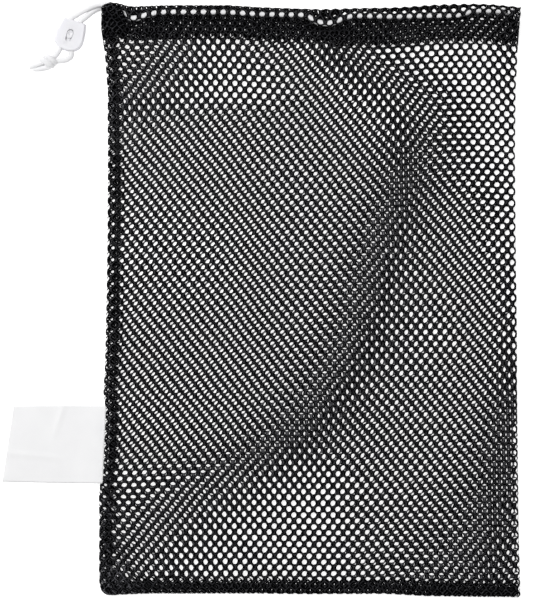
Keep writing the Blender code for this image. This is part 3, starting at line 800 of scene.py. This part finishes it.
turn_x = 203.0
turn = [
    (turn_x + 5 * math.sin(a), cord_at(turn_x, 0)[1], (BACK_Z + FRONT_Z) / 2 + (FRONT_Z - BACK_Z) / 2 * math.cos(a))
    for a in np.linspace(0, math.pi, 9)
]
lock_in, lock_out = 17.0, -17.5
right_way, left_way = 5.2, -5.2
back_points = turn + [cord_at(x, BACK_Z, 2.2) for x in np.arange(190, LEFT + 8, -7)]
back_points += [
    (-213.8, 301.2, 3.9),
    (-218.9, 300.2, 4.2),
    (-225.2, 296.6, 4.5),
    (-231.5, 291.4, 4.6),
    in_lock(right_way + 0.7, lock_in + 0.6, 4.6),
    in_lock(right_way, lock_in - 6, 4.6),
    in_lock(right_way, 0, 4.6),
    in_lock(right_way, lock_out + 5.5, 4.6),
    in_lock(right_way + 2.0, lock_out + 0.5, 4.6),
    in_lock(right_way + 2.6, lock_out - 3.5, 4.7),
    in_lock(3.6, -25.6, 4.8),
    in_lock(-4.5, -29.8, 5.2),
]
front_tail_points = [cord_at(x, FRONT_Z) for x in np.arange(LEFT + 56, LEFT + 4, -6)]
front_tail_points += [
    (-213.2, 304.6, 10.0),
    (-221.3, 303.4, 8.2),
    (-232.2, 298.6, 6.2),
    (-239.6, 294.4, 5.3),
    in_lock(left_way + 1.4, lock_in + 0.8, 4.7),
    in_lock(left_way, lock_in - 6, 4.6),
    in_lock(left_way, 0, 4.6),
    in_lock(left_way, lock_out + 6, 4.6),
    in_lock(left_way - 0.6, lock_out - 2, 4.6),
    in_lock(-7.4, -24.6, 5.6),
    in_lock(-10.4, -29.4, 6.2),
]


def drawstring_piece(name, points, node, width=CORD_RADIUS, height=CORD_FLAT, taper=None):
    path, run = rounded_path(points, 0.8)
    made = rod(name, path, run, width, height, CORD, braid=0.05, taper=taper)
    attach(made, "drawstring")
    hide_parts(node)


drawstring_piece("cord_back_run", back_points, "drawstring_back_strand")
drawstring_piece("cord_front_tail", front_tail_points, "drawstring_front_tail")

# The stopper knot: both strands pass through a coil of one strand, pulled tight.
KNOT = np.array(in_lock(-12.4, -32.6, 6.2))


def knot_point(x, y, z):
    return (KNOT[0] + x, KNOT[1] + y, max(KNOT[2] + z, 2.7))


lead = math.radians(224)
axis = np.array([math.cos(lead), math.sin(lead), 0.0])
aside = np.array([-axis[1], axis[0], 0.0])
coil = []
for i in range(29):
    angle = 2 * math.pi * 1.75 * i / 28
    offset = axis * (-4.8 + 9.6 * i / 28) + aside * (6.0 * math.cos(angle)) + np.array([0, 0, 3.7 * math.sin(angle)])
    coil.append(knot_point(*offset))
drawstring_piece("stopper_knot_coil", coil, "stopper_knot", 2.95, 2.5)
left_tail = [knot_point(6, 4, 0.5), knot_point(0, 1.6, 0.6), knot_point(-6, -1.2, 0), knot_point(-12.5, -3.8, -1.6),
             knot_point(-19.5, -6.6, -3)]
right_tail = [knot_point(6, -2, -1.0), knot_point(0, -5.6, -1.5), knot_point(-6, -7.2, -2.2),
              knot_point(-11, -8.0, -2.8), knot_point(-16, -8.4, -3.2)]


def tip_taper(run):
    return 1.08 - 0.45 * (run / run[-1]) ** 3


drawstring_piece("cord_end_left_tip", left_tail, "cord_end_left", 2.8, 2.3, tip_taper)
drawstring_piece("cord_end_right_tip", right_tail, "cord_end_right", 2.8, 2.3, tip_taper)

# ---------------------------------------------------------------- lock and label


def coat(obj, surface):
    obj.data.materials.clear()
    obj.data.materials.append(surface)


for node in ("lock_front_shell", "lock_back_shell", "lock_button"):
    coat(frame["nodes"][node], PLASTIC)

# The spring, between its seat in the lock and the button: a copy of its mesh in bright wire, baked in place.
spring = frame["nodes"]["lock_spring"]
wire = bpy.data.objects.new("lock_spring_coil", spring.data.copy())
wire.matrix_world = spring.matrix_world.copy()
bpy.context.scene.collection.objects.link(wire)
coat(wire, STEEL)
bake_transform(wire)
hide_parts("lock_spring")


def label_sheet():
    """The label: a thin crisp sheet with two soft creases, one corner lifting a little."""
    across, down = 60, 50
    s = np.linspace(0, 1, across + 1)
    t = np.linspace(0, 1, down + 1)
    s, t = np.meshgrid(s, t, indexing="ij")
    top_in, top_out = np.array([-210.5, -108.9]), np.array([-306.0, -109.2])
    low_in, low_out = np.array([-214.0, -188.8]), np.array([-317.6, -187.0])
    corner = (1 - s)[..., None] * ((1 - t)[..., None] * top_in + t[..., None] * low_in)
    corner = corner + s[..., None] * ((1 - t)[..., None] * top_out + t[..., None] * low_out)
    x, y = corner[..., 0], corner[..., 1]
    y = y + 0.5 * np.sin(3.1 * s) * (1 - 2 * t)
    drop = smooth_step(s, 0.05, 0.30)
    z = 3.2 - 2.4 * drop + 0.5 * np.sin(2.6 * math.pi * s + 0.7) * np.sin(math.pi * t) * drop
    z = z + 0.9 * np.exp(-(((s - 0.55 - 0.18 * (t - 0.5)) / 0.035) ** 2)) * smooth_step(1 - t, 0.35, 0.9)
    z = z + 0.5 * np.exp(-(((t - 0.72 + 0.1 * s) / 0.04) ** 2)) * smooth_step(s, 0.3, 0.6)
    z = z + 1.3 * smooth_step(s, 0.8, 1.0) * smooth_step(t, 0.75, 1.0)
    z = np.maximum(z, 0.45)
    top = np.stack([x, y, z + 0.15], axis=-1).reshape(-1, 3)
    low = np.stack([x, y, z - 0.15], axis=-1).reshape(-1, 3)
    index = np.arange((across + 1) * (down + 1)).reshape(across + 1, down + 1)
    a, b, c, d = index[:-1, :-1], index[1:, :-1], index[1:, 1:], index[:-1, 1:]
    upper = np.stack([a, d, c, b], axis=-1).reshape(-1, 4)
    lower = np.stack([a, b, c, d], axis=-1).reshape(-1, 4) + index.size
    ring = np.concatenate([index[:-1, 0], index[-1, :-1], index[:0:-1, -1], index[0, :0:-1]])
    following = np.roll(ring, -1)
    rim = np.stack([ring, following, following + index.size, ring + index.size], axis=-1)
    faces = [upper[:, ::-1], lower[:, ::-1], rim[:, ::-1]]
    made = make_mesh("id_label_sheet", np.concatenate([top, low]), faces, LABEL)
    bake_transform(made)
    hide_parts("id_label")


label_sheet()

# ---------------------------------------------------------------- floor, light and camera


def floor():
    mesh = bpy.data.meshes.new("floor")
    mesh.from_pydata([(-4, -4, 0), (4, -4, 0), (4, 4, 0), (-4, 4, 0)], [], [(0, 1, 2, 3)])
    surface, tree, shader = nodes_of("pale_floor")
    shader.inputs["Base Color"].default_value = (0.86, 0.86, 0.86, 1)
    shader.inputs["Roughness"].default_value = 0.9
    shader.inputs["Emission Color"].default_value = (1, 1, 1, 1)
    shader.inputs["Emission Strength"].default_value = 0.67
    mesh.materials.append(surface)
    made = bpy.data.objects.new("floor", mesh)
    made.location.z = -0.0003
    bpy.context.scene.collection.objects.link(made)


def area_light(name, place, aim, size, power):
    light = bpy.data.lights.new(name, "AREA")
    light.shape = "DISK"
    light.size = size
    light.energy = power
    made = bpy.data.objects.new(name, light)
    made.location = place
    made.rotation_euler = (Vector(aim) - Vector(place)).to_track_quat("-Z", "Y").to_euler()
    bpy.context.scene.collection.objects.link(made)


floor()
world = bpy.data.worlds.new("studio")
bpy.context.scene.world = world
world.use_nodes = True
world.node_tree.nodes["Background"].inputs["Color"].default_value = (1, 1, 1, 1)
world.node_tree.nodes["Background"].inputs["Strength"].default_value = 0.43
area_light("key", (-0.9, 0.8, 1.6), (0, 0, 0), 1.1, 25)
area_light("fill", (1.1, -0.6, 1.8), (0, 0, 0), 1.6, 3)
bpy.context.scene.view_settings.view_transform = "Standard"

CAMERA_HEIGHT = 2.5
VIEW_WIDTH = 0.550  # of the object's plane, across the image
camera_data = bpy.data.cameras.new("camera")
camera_data.sensor_fit = "HORIZONTAL"
camera_data.sensor_width = 36
camera_data.lens = 36 * CAMERA_HEIGHT / VIEW_WIDTH
camera_data.clip_end = 20
camera = bpy.data.objects.new("camera", camera_data)
camera.location = (-0.04515, -0.00439, CAMERA_HEIGHT)
bpy.context.scene.collection.objects.link(camera)
bpy.context.scene.camera = camera
